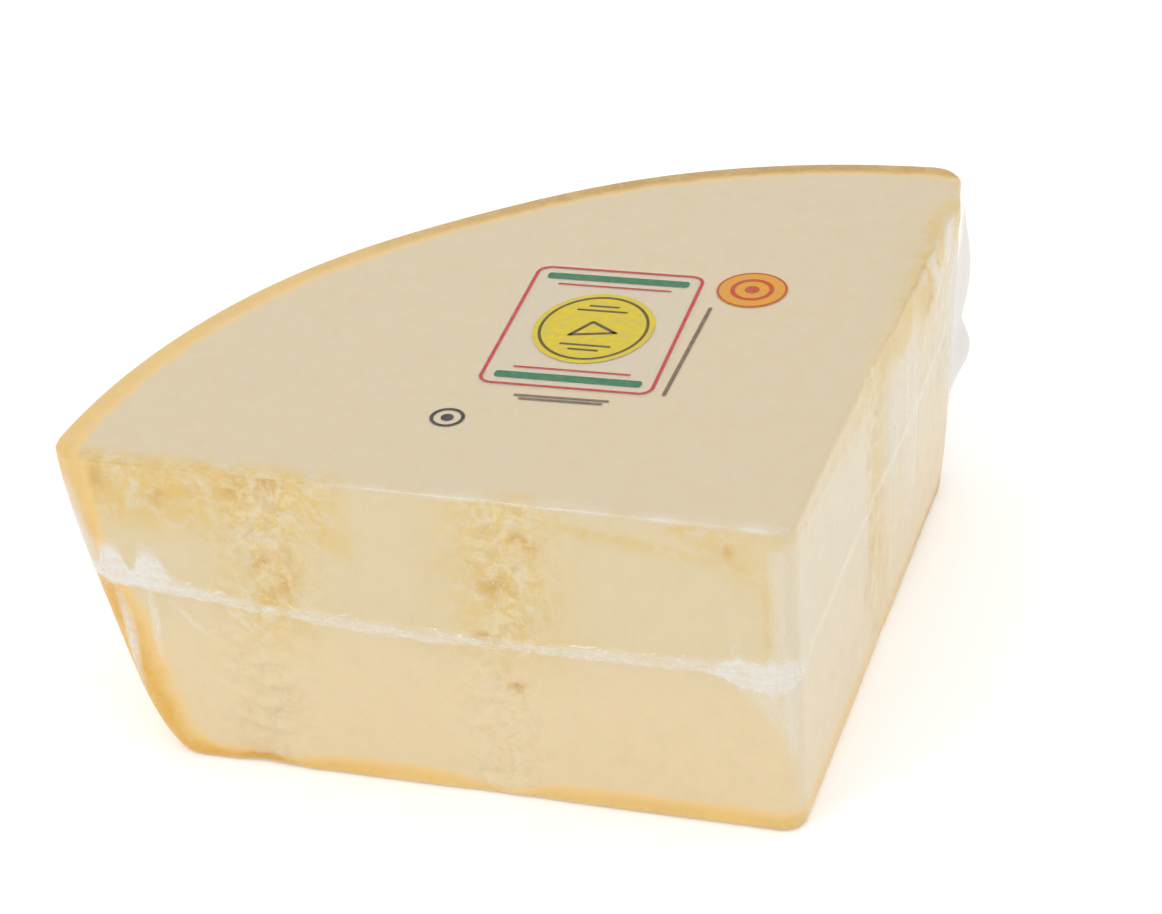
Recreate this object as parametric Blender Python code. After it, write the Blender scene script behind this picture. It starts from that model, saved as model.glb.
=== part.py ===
"""A quarter of the lower half of a large hard-cheese wheel, sealed in clear film.

The wheel was cut flat at mid height and that half was quartered, so the piece has a flat top, two
upright cut faces at a right angle, and a rind that curves in towards the heel. The film is drawn
tight over it. Its welded seam stands out all round, a little above the middle of the height.

Metres, +Z up. The piece is lofted round the wheel's axis, which is the upright edge between the two
cut faces, and is then moved so that the origin is the centre of its bounding box, on the base.
The front cut faces -Y and the right cut faces +X.
"""

import math
from typing import NamedTuple

import bmesh
import bpy
from mathutils import Vector

# The cheese, from the wheel's axis outwards.
WHEEL_RADIUS = 0.2126
HALF_HEIGHT = 0.096
RIND_FLAT = 0.0028  # how far the rind stays inside a true circle, about half way along it
RIND_FLAT_TURN = math.radians(49)
RIND_FLAT_WIDTH = math.radians(13)
RIND_DRIFT = 0.0010  # the radius is this much smaller at the left end and larger at the right
TAPER = 0.107  # share of the radius lost from the cut at mid height down to the heel
TAPER_CURVE = 1.35
HEEL_HEIGHT = 0.023
HEEL_DEPTH = 0.0065
CENTRE_CORNER = 0.007
OUTER_CORNER = 0.009
BOTTOM_ROUND = 0.0008
TOP_ROUND = 0.0022
FRONT_FOOT = 0.0018  # how far each cut face stands out at the base, where the piece sags
RIGHT_FOOT = 0.0007
FOOT_HEIGHT = 0.030

# The film's seam and the places where the film stands off the cheese.
SEAM_HEIGHT = 0.050
SEAM_RISE = 0.010
SEAM_OUT = 0.0035
SEAM_ROOT = 0.0050
SEAM_TIP = 0.0020
SEAM_LEAST = 0.45
SEAM_LAID_FLAT = 0.80  # share of its standing out that the seam loses where it is laid flat
SEAM_FLAT_WIDTH = 0.016
SEAM_FLAT_FROM = 0.030  # along the right cut, it lies flat from here on
LEFT_EAR = ((0.059, 0.040, 0.0010),)  # each bulge of an ear: height, half height, standing out
RIGHT_EAR = ((0.066, 0.018, 0.0070), (0.0425, 0.009, 0.0090))
EAR_HALF_WIDTH = 0.018
RIGHT_BULGE = 0.0052  # the right cut face bows out towards its far end, most at the top
RIGHT_BULGE_PLACE = 0.155
RIGHT_BULGE_WIDTH = 0.065

# How finely each stretch of the outline is divided.
CUT_STEPS = 44
CORNER_STEPS = 5
RIND_STEPS = 34
ROUND_STEPS = 3
LOWER_STEPS = 7
UPPER_STEPS = 6


class Crack(NamedTuple):
    """A rough upright band where the paste broke instead of being cut."""

    along: float
    half_width: float
    depth: float
    pitch: float


class Dent(NamedTuple):
    """A shallow hollow, or a bump where the depth is negative, at one place on a cut face."""

    along: float
    height: float
    half_length: float
    half_height: float
    depth: float


FRONT_CRACKS = (
    Crack(along=0.152, half_width=0.015, depth=0.0018, pitch=0.021),
    Crack(along=0.080, half_width=0.011, depth=0.0016, pitch=0.024),
)
FRONT_DENTS = (
    Dent(along=0.074, height=0.0925, half_length=0.009, half_height=0.006, depth=-0.0012),
    Dent(along=0.018, height=0.0845, half_length=0.014, half_height=0.006, depth=0.0016),
    Dent(along=0.156, height=0.0000, half_length=0.007, half_height=0.008, depth=0.0014),
    Dent(along=0.142, height=0.0000, half_length=0.006, half_height=0.008, depth=-0.0014),
    Dent(along=0.195, height=0.0880, half_length=0.010, half_height=0.010, depth=0.0012),
)
RIGHT_CRACKS = (
    Crack(along=0.086, half_width=0.012, depth=0.0018, pitch=0.022),
    Crack(along=0.160, half_width=0.013, depth=0.0014, pitch=0.019),
)
RIGHT_DENTS = (
    Dent(along=0.155, height=0.0850, half_length=0.010, half_height=0.008, depth=0.0020),
    Dent(along=0.190, height=0.0800, half_length=0.006, half_height=0.008, depth=0.0016),
    Dent(along=0.092, height=0.0020, half_length=0.007, half_height=0.007, depth=-0.0010),
)

FILM_COLOUR = (0.86, 0.80, 0.66)
FILM_ROUGHNESS = 0.25


def bell(distance, half_width):
    """1 at no distance, falling smoothly to nothing a few half widths away."""
    return math.exp(-((distance / half_width) ** 2))


def quarter_round(height, radius):
    """How far a rounded edge has drawn in at this height above the flat it starts from."""
    if height >= radius:
        return 0.0
    return radius * (1 - math.sqrt(1 - ((radius - height) / radius) ** 2))


def rind_radius(z):
    """The wheel's radius at this height: tapering in a long curve, with a rounded heel."""
    below_cut = max(0.0, HALF_HEIGHT - z) / HALF_HEIGHT
    taper = 1 - TAPER * below_cut**TAPER_CURVE
    heel = quarter_round(z, HEEL_HEIGHT) * HEEL_DEPTH / HEEL_HEIGHT
    return WHEEL_RADIUS * taper - heel - quarter_round(HALF_HEIGHT - z, TOP_ROUND)


def cut_inset(z):
    """How far the two cut faces draw in at their rounded top and bottom edges."""
    return quarter_round(z, BOTTOM_ROUND) + quarter_round(HALF_HEIGHT - z, TOP_ROUND)


def seam_height(place):
    """The seam rises towards the rind, where the film had further to reach."""
    return SEAM_HEIGHT + SEAM_RISE * (place.length / WHEEL_RADIUS) ** 2.5


def relief(cracks, dents, along, z):
    """How far a cut face stands out at a place on it. Cracks and dents go in."""
    out = 0.0
    for crack in cracks:
        swing = math.sin(math.tau * z / crack.pitch + 40 * along)
        grain = math.cos(math.tau * (along / 0.011 + z / 0.047))
        ragged = 0.55 + 0.25 * swing + 0.20 * grain
        out -= crack.depth * ragged * bell(along - crack.along, crack.half_width)
    for dent in dents:
        near = bell(along - dent.along, dent.half_length) * bell(z - dent.height, dent.half_height)
        out -= dent.depth * near
    return out


def stations_round():
    """(kind, share) of every station round the outline, starting at the left end of the front."""
    counts = (
        ("front", CUT_STEPS),
        ("centre corner", CORNER_STEPS),
        ("right", CUT_STEPS),
        ("back corner", CORNER_STEPS),
        ("rind", RIND_STEPS),
        ("left corner", CORNER_STEPS),
    )
    return [(kind, step / steps) for kind, steps in counts for step in range(steps)]


def on_arc(centre, radius, start, end, share):
    """A place on an arc and its outward direction, with angles in radians from +X."""
    angle = start + (end - start) * share
    outward = Vector((math.cos(angle), math.sin(angle)))
    return centre + radius * outward, outward


def outline(kind, share, z):
    """The place and outward direction of one station at one height, before relief and seam."""
    radius, inset = rind_radius(z), cut_inset(z)
    reach = math.sqrt((radius - OUTER_CORNER) ** 2 - (inset + OUTER_CORNER) ** 2)
    left = Vector((-reach, inset + OUTER_CORNER))
    back = Vector((-inset - OUTER_CORNER, reach))
    near = inset + CENTRE_CORNER
    left_angle = math.atan2(left.y, left.x)
    back_angle = math.atan2(back.y, back.x)
    if kind == "front":
        return Vector((-reach + (reach - near) * share, inset)), Vector((0, -1))
    if kind == "centre corner":
        return on_arc(Vector((-near, near)), CENTRE_CORNER, -math.pi / 2, 0, share)
    if kind == "right":
        return Vector((-inset, near + (reach - near) * share)), Vector((1, 0))
    if kind == "back corner":
        return on_arc(back, OUTER_CORNER, 0, back_angle, share)
    if kind == "rind":
        return on_arc(Vector((0, 0)), radius, back_angle, left_angle, share)
    return on_arc(left, OUTER_CORNER, left_angle, 3 * math.pi / 2, share)


def out_of_round(place):
    """How far the rind stands out beyond a true circle, by its turn from the front cut."""
    turn = math.atan2(place.y, -place.x)
    drift = RIND_DRIFT * (turn / (math.pi / 4) - 1)
    return drift - RIND_FLAT * bell(turn - RIND_FLAT_TURN, RIND_FLAT_WIDTH)


def standing_off(place, outward, z):
    """How far the film is from the plain outline: cracks, dents, ears at the rind's two ends."""
    out = out_of_round(place) * max(0.0, outward.dot(place.normalized())) ** 2
    if outward.y < -0.9:
        out += relief(FRONT_CRACKS, FRONT_DENTS, -place.x, z)
    if outward.x > 0.9:
        out += relief(RIGHT_CRACKS, RIGHT_DENTS, place.y, z)
    out += bell(z, FOOT_HEIGHT) * max(0.0, RIGHT_FOOT * outward.x, -FRONT_FOOT * outward.y)
    bow = bell(place.y - RIGHT_BULGE_PLACE, RIGHT_BULGE_WIDTH) * z / HALF_HEIGHT
    out += RIGHT_BULGE * bow * max(0.0, outward.x)
    radius = rind_radius(z)
    ends = (
        (LEFT_EAR, Vector((-radius, OUTER_CORNER)), -outward.x),
        (RIGHT_EAR, Vector((-OUTER_CORNER, radius)), max(0.5 * outward.y, outward.x)),
    )
    for ear, end, facing in ends:
        far = max(bulge * bell(z - height, half_height) for height, half_height, bulge in ear)
        out += far * max(0.0, facing) * bell((place - end).length, EAR_HALF_WIDTH)
    return out


def seam_laid_flat(place):
    """How flat the seam is pressed, 0 to 1: fully at the left end and along the right cut."""
    left = bell(place.x + WHEEL_RADIUS, SEAM_FLAT_WIDTH)
    right = bell(place.x, SEAM_FLAT_WIDTH) * min(1.0, max(0.0, place.y) / SEAM_FLAT_FROM)
    return max(left, right)


def station_heights(seam):
    """The heights of one station's points, from the base to the top, close together at the seam."""
    quarter = [1 - math.cos(math.pi / 2 * step / ROUND_STEPS) for step in range(ROUND_STEPS + 1)]
    low = [BOTTOM_ROUND * share for share in quarter]
    high = [HALF_HEIGHT - TOP_ROUND * share for share in reversed(quarter)]
    seam_low, seam_high = seam - SEAM_ROOT / 2, seam + SEAM_ROOT / 2
    rows = [(z, 0.0) for z in low]
    for step in range(1, LOWER_STEPS):
        rows.append((low[-1] + (seam_low - low[-1]) * step / LOWER_STEPS, 0.0))
    rows += [(seam_low, 0.0), (seam - SEAM_TIP / 2, 1.0), (seam + SEAM_TIP / 2, 1.0), (seam_high, 0.0)]
    for step in range(1, UPPER_STEPS):
        rows.append((seam_high + (high[0] - seam_high) * step / UPPER_STEPS, 0.0))
    return rows + [(z, 0.0) for z in high]


def column(kind, share, turn):
    """One station's points from the base to the top. turn is its share of the way round."""
    flat_place, _ = outline(kind, share, SEAM_HEIGHT)
    seam = seam_height(flat_place)
    waves = math.sin(math.tau * 23 * turn) + math.sin(math.tau * 37 * turn + 1.0)
    ragged = SEAM_LEAST + (1 - SEAM_LEAST) * (0.5 + 0.25 * waves)
    ragged *= 1 - SEAM_LAID_FLAT * seam_laid_flat(flat_place)
    points = []
    for z, seam_share in station_heights(seam):
        place, outward = outline(kind, share, z)
        out = standing_off(place, outward, z) + SEAM_OUT * ragged * seam_share
        points.append((place + outward * out).to_3d() + Vector((0, 0, z)))
    return points


def sealed_wedge_mesh():
    """The whole piece as one closed mesh: upright columns joined all round, with flat ends."""
    stations = stations_round()
    shape = bmesh.new()
    columns = []
    for number, (kind, share) in enumerate(stations):
        points = column(kind, share, number / len(stations))
        columns.append([shape.verts.new(point) for point in points])
    for here, after in zip(columns, columns[1:] + columns[:1], strict=True):
        for low, high in zip(range(len(here)), range(1, len(here))):
            shape.faces.new((here[low], after[low], after[high], here[high]))
    shape.faces.new([points[0] for points in reversed(columns)])
    shape.faces.new([points[-1] for points in columns])
    lowest = Vector(min(vert.co[axis] for vert in shape.verts) for axis in range(3))
    highest = Vector(max(vert.co[axis] for vert in shape.verts) for axis in range(3))
    middle = (lowest + highest) / 2
    bmesh.ops.translate(shape, vec=(-middle.x, -middle.y, -lowest.z), verts=shape.verts)
    mesh = bpy.data.meshes.new("sealed_cheese_wedge")
    shape.to_mesh(mesh)
    shape.free()
    mesh.shade_smooth()
    mesh.set_sharp_from_angle(angle=math.radians(40))
    return mesh


def film_over_paste():
    """Clear film tight on pale straw-coloured paste, seen as one finish."""
    material = bpy.data.materials.new("film_over_paste")
    material.use_nodes = True
    shader = material.node_tree.nodes["Principled BSDF"]
    shader.inputs["Base Color"].default_value = (*FILM_COLOUR, 1)
    shader.inputs["Roughness"].default_value = FILM_ROUGHNESS
    shader.inputs["Metallic"].default_value = 0.0
    return material


def main():
    for old in list(bpy.data.objects):
        bpy.data.objects.remove(old, do_unlink=True)
    parts = bpy.data.collections.new("cheese_wedge")
    bpy.context.scene.collection.children.link(parts)
    mesh = sealed_wedge_mesh()
    mesh.materials.append(film_over_paste())
    parts.objects.link(bpy.data.objects.new("sealed_cheese_wedge", mesh))


main()
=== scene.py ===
# %% [markdown]
# A hard cheese wedge in clear film
#
# A big wheel of grating cheese is cut flat at half its height, and the half is quartered. One quarter
# is then vacuum sealed in clear film. The lesson builds what lies on top of each other: the cheese
# with its rind, the tight film, the crumpled weld that runs round the sides, the folds that spring
# from it, and the shapes printed on top. Everything is in metres, in the frame of the CAD model.

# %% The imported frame
import math

import bpy
import numpy as np
from mathutils import Matrix, Vector, noise


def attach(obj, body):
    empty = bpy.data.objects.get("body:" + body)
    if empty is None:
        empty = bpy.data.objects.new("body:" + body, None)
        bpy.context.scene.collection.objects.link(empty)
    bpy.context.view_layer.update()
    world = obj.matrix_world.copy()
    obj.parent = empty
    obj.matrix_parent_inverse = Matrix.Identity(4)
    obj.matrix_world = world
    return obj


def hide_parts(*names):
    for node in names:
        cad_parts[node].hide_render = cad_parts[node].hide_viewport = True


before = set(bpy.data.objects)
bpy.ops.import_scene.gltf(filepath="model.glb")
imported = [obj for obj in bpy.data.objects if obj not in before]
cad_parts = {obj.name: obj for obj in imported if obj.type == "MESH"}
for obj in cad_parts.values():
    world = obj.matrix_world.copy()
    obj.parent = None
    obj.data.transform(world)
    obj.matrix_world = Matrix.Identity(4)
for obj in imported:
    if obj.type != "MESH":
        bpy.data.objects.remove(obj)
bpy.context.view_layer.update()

# %% [markdown]
# The camera stands where the photographer stood: a little to the right of the front cut, about 31
# degrees up, with a long lens and a slight roll. A camera could be aimed with a Track To constraint,
# but a matrix built from three directions also holds the roll, so that is used here. The upright
# edge between the two cuts was the wheel's own axis, and it is the point that all else is measured
# from.

# %% The camera
WHEEL_AXIS = Vector((0.10257, -0.10506, 0.0))
CAMERA_FROM_AXIS = Vector((0.19929, -0.75243, 0.59304))
LENS_MM, SENSOR_MM = 111.0, 36.0
azimuth, elevation, roll = (math.radians(angle) for angle in (18.74, 31.16, -3.99))
towards = Vector(
    (
        math.sin(azimuth) * math.cos(elevation),
        -math.cos(azimuth) * math.cos(elevation),
        math.sin(elevation),
    )
)
level = Vector((math.cos(azimuth), math.sin(azimuth), 0.0))
upright = towards.cross(level)
to_right = math.cos(roll) * level + math.sin(roll) * upright
to_top = math.cos(roll) * upright - math.sin(roll) * level

bpy.ops.object.camera_add()
camera = bpy.context.object
camera.name = "counter_camera"
camera.data.lens = LENS_MM
camera.data.sensor_width = SENSOR_MM
camera.data.sensor_fit = "HORIZONTAL"
camera.matrix_world = (
    Matrix.Translation(WHEEL_AXIS + CAMERA_FROM_AXIS)
    @ Matrix((to_right, to_top, towards)).transposed().to_4x4()
)
bpy.context.scene.camera = camera
print("camera", round((camera.location - WHEEL_AXIS).length, 3), "m from the near corner")

# %% [markdown]
# The cheese was photographed in a bright tent on a light table. A white world gives the even light.
# One small bright lamp above and in front draws the glints in the film's folds and part of the thin
# gleam along its front edge; the rest of that gleam is a painted highlight, stored with the film's
# milkiness. A weak wide lamp at the right keeps the other cut from going grey. Standard view keeps
# the pale colours as they are mixed.

# %% The light
WHITE = (1.0, 1.0, 1.0, 1.0)
world = bpy.data.worlds.new("white_tent")
bpy.context.scene.world = world
world.use_nodes = True
background = world.node_tree.nodes["Background"].inputs
background["Color"].default_value = WHITE
background["Strength"].default_value = 1.01
bpy.context.scene.view_settings.view_transform = "Standard"


def soft_lamp(name, place, size, power):
    """A square lamp of `size` metres that faces the middle of the wedge."""
    bpy.ops.object.light_add(type="AREA", location=place)
    lamp = bpy.context.object
    lamp.name = name
    lamp.data.size = size
    lamp.data.energy = power
    aim = Vector((0.0, 0.0, 0.05)) - Vector(place)
    lamp.rotation_euler = aim.to_track_quat("-Z", "Y").to_euler()
    print(name, "of", power, "W,", round(aim.length, 2), "m from the wedge")


soft_lamp("tent_front_lamp", (-0.38, -0.72, 1.13), 0.20, 1.9)
soft_lamp("tent_right_lamp", (1.2, -0.3, 0.8), 0.9, 0.25)


# %% [markdown]
# Node trees are easier to read when each node takes one line. `add` makes a node, sets its options
# and fills its inputs: a number stays a number, and another node's output becomes a link. The other
# helpers mix two colours, make cloudy noise, start a material and give it its shader.


# %% Helpers for materials
def add(tree, kind, inputs=None, **settings):
    """A new node with its options set and its inputs filled or linked."""
    made = tree.nodes.new(kind)
    for name, value in settings.items():
        setattr(made, name, value)
    for name, value in (inputs or {}).items():
        if isinstance(value, bpy.types.NodeSocket):
            tree.links.new(value, made.inputs[name])
        else:
            made.inputs[name].default_value = value
    return made


def blend(tree, share, first, second):
    """Mixes two colours."""
    made = add(tree, "ShaderNodeMix", {0: share, 6: first, 7: second}, data_type="RGBA")
    return made.outputs[2]


def clouds(tree, place, scale, detail=3.0, roughness=0.5, distortion=0.0):
    """Noise from 0 to 1 with about `scale` clouds in a metre."""
    settings = {"Scale": scale, "Detail": detail, "Roughness": roughness, "Distortion": distortion}
    return add(tree, "ShaderNodeTexNoise", {"Vector": place, **settings}).outputs["Fac"]


def new_material(name):
    """An empty material, its node tree, the socket for its surface and the Object coordinates."""
    material = bpy.data.materials.new(name)
    material.use_nodes = True
    tree = material.node_tree
    tree.nodes.clear()
    surface = add(tree, "ShaderNodeOutputMaterial").inputs["Surface"]
    place = add(tree, "ShaderNodeTexCoord").outputs["Object"]
    return material, tree, surface, place


def principled(tree, colour, roughness, more):
    """The result of a Principled shader, with the values that this finish needs besides."""
    values = {"Base Color": colour, "Roughness": roughness, **more}
    return add(tree, "ShaderNodeBsdfPrincipled", values).outputs[0]


# %% [markdown]
# The floor is a plain pale sheet that glows faintly, as a light table does, so that hardly any shadow
# shows on it. It isn't part of the object, so it stays apart from the pieces that move with the root.

# %% The floor
bpy.ops.object.select_all(action="DESELECT")
bpy.ops.mesh.primitive_plane_add(size=12.0, location=(0.0, 0.0, -0.0002))
floor = bpy.context.object
floor.name = "pale_floor"
pale, tree, surface, place = new_material("pale_sheet")
sheet_colour = blend(
    tree, clouds(tree, place, 3.0), (0.955, 0.955, 0.955, 1.0), (0.965, 0.965, 0.965, 1.0)
)
glow = {"Emission Color": WHITE, "Emission Strength": 0.16}
tree.links.new(principled(tree, sheet_colour, 0.8, glow), surface)
floor.data.materials.append(pale)
print("floor:", floor.name, "with", len(tree.nodes), "nodes")

# %% [markdown]
# The cheese and the film share one shape, the film only a fraction of a millimetre further out. The
# wheel's side tapers towards the base, its lower edge is rounded into a heel, and it isn't quite
# round, so the radius depends on the height and on the turn from the front cut. These measures are
# the CAD model's own.

# %% The wheel's profile
WHEEL_RADIUS, HEIGHT = 0.2126, 0.096
HEEL_HIGH, HEEL_DEEP = 0.023, 0.0065
TAPER, TAPER_CURVE = 0.107, 1.35
OUT_OF_ROUND = 0.0010
FLATTENED, FLAT_AT, FLAT_WIDE = 0.0028, math.radians(49), math.radians(13)


def bell(distance, width):
    """1 at no distance, falling smoothly to nothing."""
    return np.exp(-((distance / width) ** 2))


def rise(low, high, value):
    """0 at low, 1 at high, and smooth between them."""
    share = np.clip((value - low) / (high - low), 0.0, 1.0)
    return share * share * (3.0 - 2.0 * share)


def wheel_side(turn, z):
    """Radius of the wheel at a turn from the front cut and a height, with its taper and heel."""
    over_base = np.clip(z / HEEL_HIGH, 0.0, 1.0)
    heel = HEEL_DEEP * (1.0 - np.sqrt(1.0 - (1.0 - over_base) ** 2))
    taper = 1.0 - TAPER * np.clip(1.0 - z / HEIGHT, 0.0, 1.0) ** TAPER_CURVE
    drift = OUT_OF_ROUND * (turn / (math.pi / 4) - 1.0)
    flat = FLATTENED * bell(turn - FLAT_AT, FLAT_WIDE)
    return WHEEL_RADIUS * taper - heel + drift - flat


print(
    "radius at base and top in mm:",
    np.round(wheel_side(0.0, np.array((0.0, HEIGHT))) * 1000, 1),
)

# %% [markdown]
# A quarter wheel can be cut from a cylinder with a Boolean, but that leaves long thin faces that
# can't be shaped further. A grid that stands on the front cut and is spun a quarter turn about the
# wheel's axis gives an even mesh all over, which is what the torn surface and the bulges need.
# With no window the spin runs the other way round, so its angle is positive here.


# %% A quarter block
def only(piece):
    """Selects this piece alone."""
    bpy.ops.object.select_all(action="DESELECT")
    piece.select_set(True)
    bpy.context.view_layer.objects.active = piece


def tidy_mesh(piece, gap=1e-5):
    """Merges doubled points and turns all faces outwards."""
    only(piece)
    bpy.ops.object.mode_set(mode="EDIT")
    bpy.ops.mesh.select_all(action="SELECT")
    bpy.ops.mesh.remove_doubles(threshold=gap)
    bpy.ops.mesh.normals_make_consistent(inside=False)
    bpy.ops.object.mode_set(mode="OBJECT")


bpy.ops.object.select_all(action="DESELECT")
bpy.ops.mesh.primitive_grid_add(
    x_subdivisions=170,
    y_subdivisions=80,
    size=1.0,
    location=WHEEL_AXIS + Vector((-WHEEL_RADIUS / 2, 0.0, HEIGHT / 2)),
    rotation=(math.pi / 2, 0.0, 0.0),
)
cheese = bpy.context.object
cheese.name = cheese.data.name = "cheese_wedge"
cheese.scale = (WHEEL_RADIUS, HEIGHT, 1.0)
bpy.ops.object.transform_apply(location=True, rotation=True, scale=True)
bpy.ops.object.mode_set(mode="EDIT")
bpy.ops.mesh.select_all(action="SELECT")
bpy.ops.mesh.spin(
    steps=112, dupli=False, angle=math.pi / 2, center=WHEEL_AXIS, axis=(0.0, 0.0, 1.0)
)
bpy.ops.object.mode_set(mode="OBJECT")
tidy_mesh(cheese)
print("block:", len(cheese.data.polygons), "faces, no flake or fold yet")

# %% [markdown]
# The film starts as a copy of the same block, with a mesh of its own. It could be spun anew, but a
# copy is quicker, and its squares lie over those of the cheese.

# %% A second block for the film
only(cheese)
bpy.ops.object.duplicate()
film = bpy.context.object
film.name = film.data.name = "clear_film"
print("two blocks:", cheese.name, "and", film.name)

# %% [markdown]
# The blocks are shaped by moving their points in code, so the points are read and written as one
# table, and numbers for the materials are stored with them. A Bevel modifier would cut into the
# small squares, so the edges are rounded in the same way: near an edge the square corner is drawn in
# to a quarter circle.


# %% Helpers for moving points
def read_points(piece, origin=WHEEL_AXIS):
    """The mesh's points as rows of x, y, z, measured from the wheel's axis."""
    values = np.empty(len(piece.data.vertices) * 3)
    piece.data.vertices.foreach_get("co", values)
    return values.reshape(-1, 3) - np.array(origin)


def read_normals(piece):
    """The direction that each point faces."""
    values = np.empty(len(piece.data.vertices) * 3)
    piece.data.vertex_normals.foreach_get("vector", values)
    return values.reshape(-1, 3)


def write_points(piece, points):
    """Puts the points back."""
    piece.data.vertices.foreach_set("co", (points + np.array(WHEEL_AXIS)).ravel())
    piece.data.update()


def write_attribute(piece, name, values):
    """Stores one number for each point, for a material to read."""
    layer = piece.data.attributes.new(name, "FLOAT", "POINT")
    layer.data.foreach_set("value", np.clip(values, 0.0, 1.0).astype(np.float32))


def drawn_in(first, second, radius):
    """How far two depths grow when the edge between them is rounded."""
    a, b = np.maximum(radius - first, 0.0), np.maximum(radius - second, 0.0)
    share = 1.0 - np.maximum(a, b) / np.maximum(np.hypot(a, b), 1e-12)
    return a * share, b * share


# %% [markdown]
# Now the blocks get the wheel's profile. Each point keeps its share of the way out from the axis,
# its turn from the front cut and its height, and is set where the real surface lies. The cut faces
# stand out a little at the foot, where the heavy piece sags, and the right one bows out towards its
# far end. The steps between the points are drawn together near the edges, which are rounded.

# %% Shaping the blocks
CORNER_ROUND, RIND_ROUND = 0.007, 0.009
TOP_ROUND, FOOT_ROUND = 0.0020, 0.0008
FRONT_SAG, RIGHT_SAG, SAG_HIGH = 0.0018, 0.0007, 0.030
BOW, BOW_AT, BOW_WIDE = 0.0052, 0.155, 0.065
FADES_OVER = 0.04
CHEESE_INSIDE, FILM_INSIDE = 0.0005, 0.0003


def wedge_places(share, turn, z, inside):
    """Where points lie, `inside` metres within the outer skin, with their way in and their depth."""
    side = wheel_side(turn, z) - inside
    way = np.stack((-np.cos(turn), np.sin(turn)), axis=-1)
    start = np.array((-inside, inside))
    along = way @ start
    reach = np.sqrt(along**2 - start @ start + side**2) - along
    flat = start + way * (share * reach)[:, None]
    outward = flat / np.maximum(np.linalg.norm(flat, axis=1), 1e-9)[:, None]
    ways = (np.array((0.0, 1.0)), np.array((-1.0, 0.0)), -outward)
    depths = (flat[:, 1] - inside, -flat[:, 0] - inside, side - np.linalg.norm(flat, axis=1))
    for first, second, radius in ((0, 1, CORNER_ROUND), (0, 2, RIND_ROUND), (1, 2, RIND_ROUND)):
        moved = drawn_in(depths[first], depths[second], radius - inside)
        flat = flat + moved[0][:, None] * ways[first] + moved[1][:, None] * ways[second]
    into = sum(np.maximum(CORNER_ROUND - d, 0.0)[:, None] * w for d, w in zip(depths, ways))
    into = into / np.maximum(np.linalg.norm(into, axis=1), 1e-9)[:, None]
    foot = bell(z, SAG_HIGH)
    bow = BOW * bell(flat[:, 1] - BOW_AT, BOW_WIDE) * z / HEIGHT
    flat[:, 0] += (bow + RIGHT_SAG * foot) * (1.0 - rise(0.0, FADES_OVER, depths[1]))
    flat[:, 1] -= FRONT_SAG * foot * (1.0 - rise(0.0, FADES_OVER, depths[0]))
    return flat, into, np.minimum(np.minimum(depths[0], depths[1]), depths[2])


def denser_ends(share, amount):
    """Moves even steps closer together at both ends."""
    return share - amount * np.sin(2 * math.pi * share) / (2 * math.pi)


def shape_wedge(block, inside):
    """Gives a quarter block the wedge's true form."""
    points = read_points(block)
    share = np.clip(np.hypot(points[:, 0], points[:, 1]) / WHEEL_RADIUS, 0.0, 1.0)
    turn = np.where(share < 1e-4, math.pi / 4, np.arctan2(points[:, 1], -points[:, 0]))
    low, high = inside, HEIGHT - inside
    z = low + (high - low) * denser_ends(np.clip(points[:, 2] / HEIGHT, 0.0, 1.0), 0.5)
    flat, into, depth = wedge_places(denser_ends(share, 0.35), turn, z, inside)
    under, up = drawn_in(depth, z - low, FOOT_ROUND)
    over, down = drawn_in(depth, high - z, TOP_ROUND)
    flat = flat + into * (under + over)[:, None]
    write_points(block, np.column_stack((flat, z + up - down)))


shape_wedge(cheese, CHEESE_INSIDE)
shape_wedge(film, FILM_INSIDE)
print("wedge in mm:", [round(v * 1000, 1) for v in film.dimensions])

# %% [markdown]
# A wedge of this cheese is broken open as much as it is cut. Where the blades met, the paste is torn
# into flat flakes, in upright bands on both cuts. The bands, dents and dark pits are listed one by one:
# how far along the cut, how high, how big and how deep. A band's last number is how much of its
# roughness is left below the weld.

# %% Where the cuts are torn
# Bands: middle, half width, depth, rest below the weld. Dents: along, up, half width, half height,
# depth. Pits: along, up, radius. The crease is a line of places, along and up.
FRONT_BANDS = ((0.151, 0.014, 0.0018, 0.62), (0.082, 0.012, 0.0016, 0.72))
RIGHT_BANDS = ((0.092, 0.011, 0.0016, 0.80), (0.160, 0.012, 0.0010, 0.40))
FRONT_DENTS = (
    (0.074, 0.0925, 0.009, 0.006, -0.0006),
    (0.018, 0.0860, 0.008, 0.005, 0.0008),
    (0.156, 0.0000, 0.006, 0.010, 0.0020),
    (0.142, 0.0000, 0.006, 0.008, -0.0005),
    (0.195, 0.0880, 0.010, 0.010, 0.0012),
    (0.079, 0.0357, 0.003, 0.003, 0.0006),
)
RIGHT_DENTS = (
    (0.159, 0.0835, 0.011, 0.008, -0.0016),
    (0.138, 0.0840, 0.006, 0.008, 0.0008),
    (0.189, 0.0920, 0.008, 0.012, -0.0021),
    (0.092, 0.0020, 0.007, 0.007, -0.0006),
)
FRONT_PITS = (
    (0.1570, 0.0900, 0.0032),
    (0.1470, 0.0925, 0.0040),
    (0.1510, 0.0660, 0.0026),
    (0.1445, 0.0600, 0.0024),
    (0.1680, 0.0880, 0.0018),
    (0.1790, 0.0850, 0.0026),
    (0.1985, 0.0885, 0.0040),
    (0.0840, 0.0676, 0.0036),
    (0.0725, 0.0820, 0.0022),
    (0.0790, 0.0357, 0.0024),
    (0.0880, 0.0510, 0.0015),
    (0.0184, 0.0872, 0.0020),
)
RIGHT_PITS = ((0.0890, 0.0345, 0.0046), (0.0814, 0.0250, 0.0042), (0.1500, 0.0830, 0.0045))
CREASE = ((0.063, 0.0890), (0.0146, 0.0830), (0.0070, 0.0780), (0.0068, 0.0590))
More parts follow.
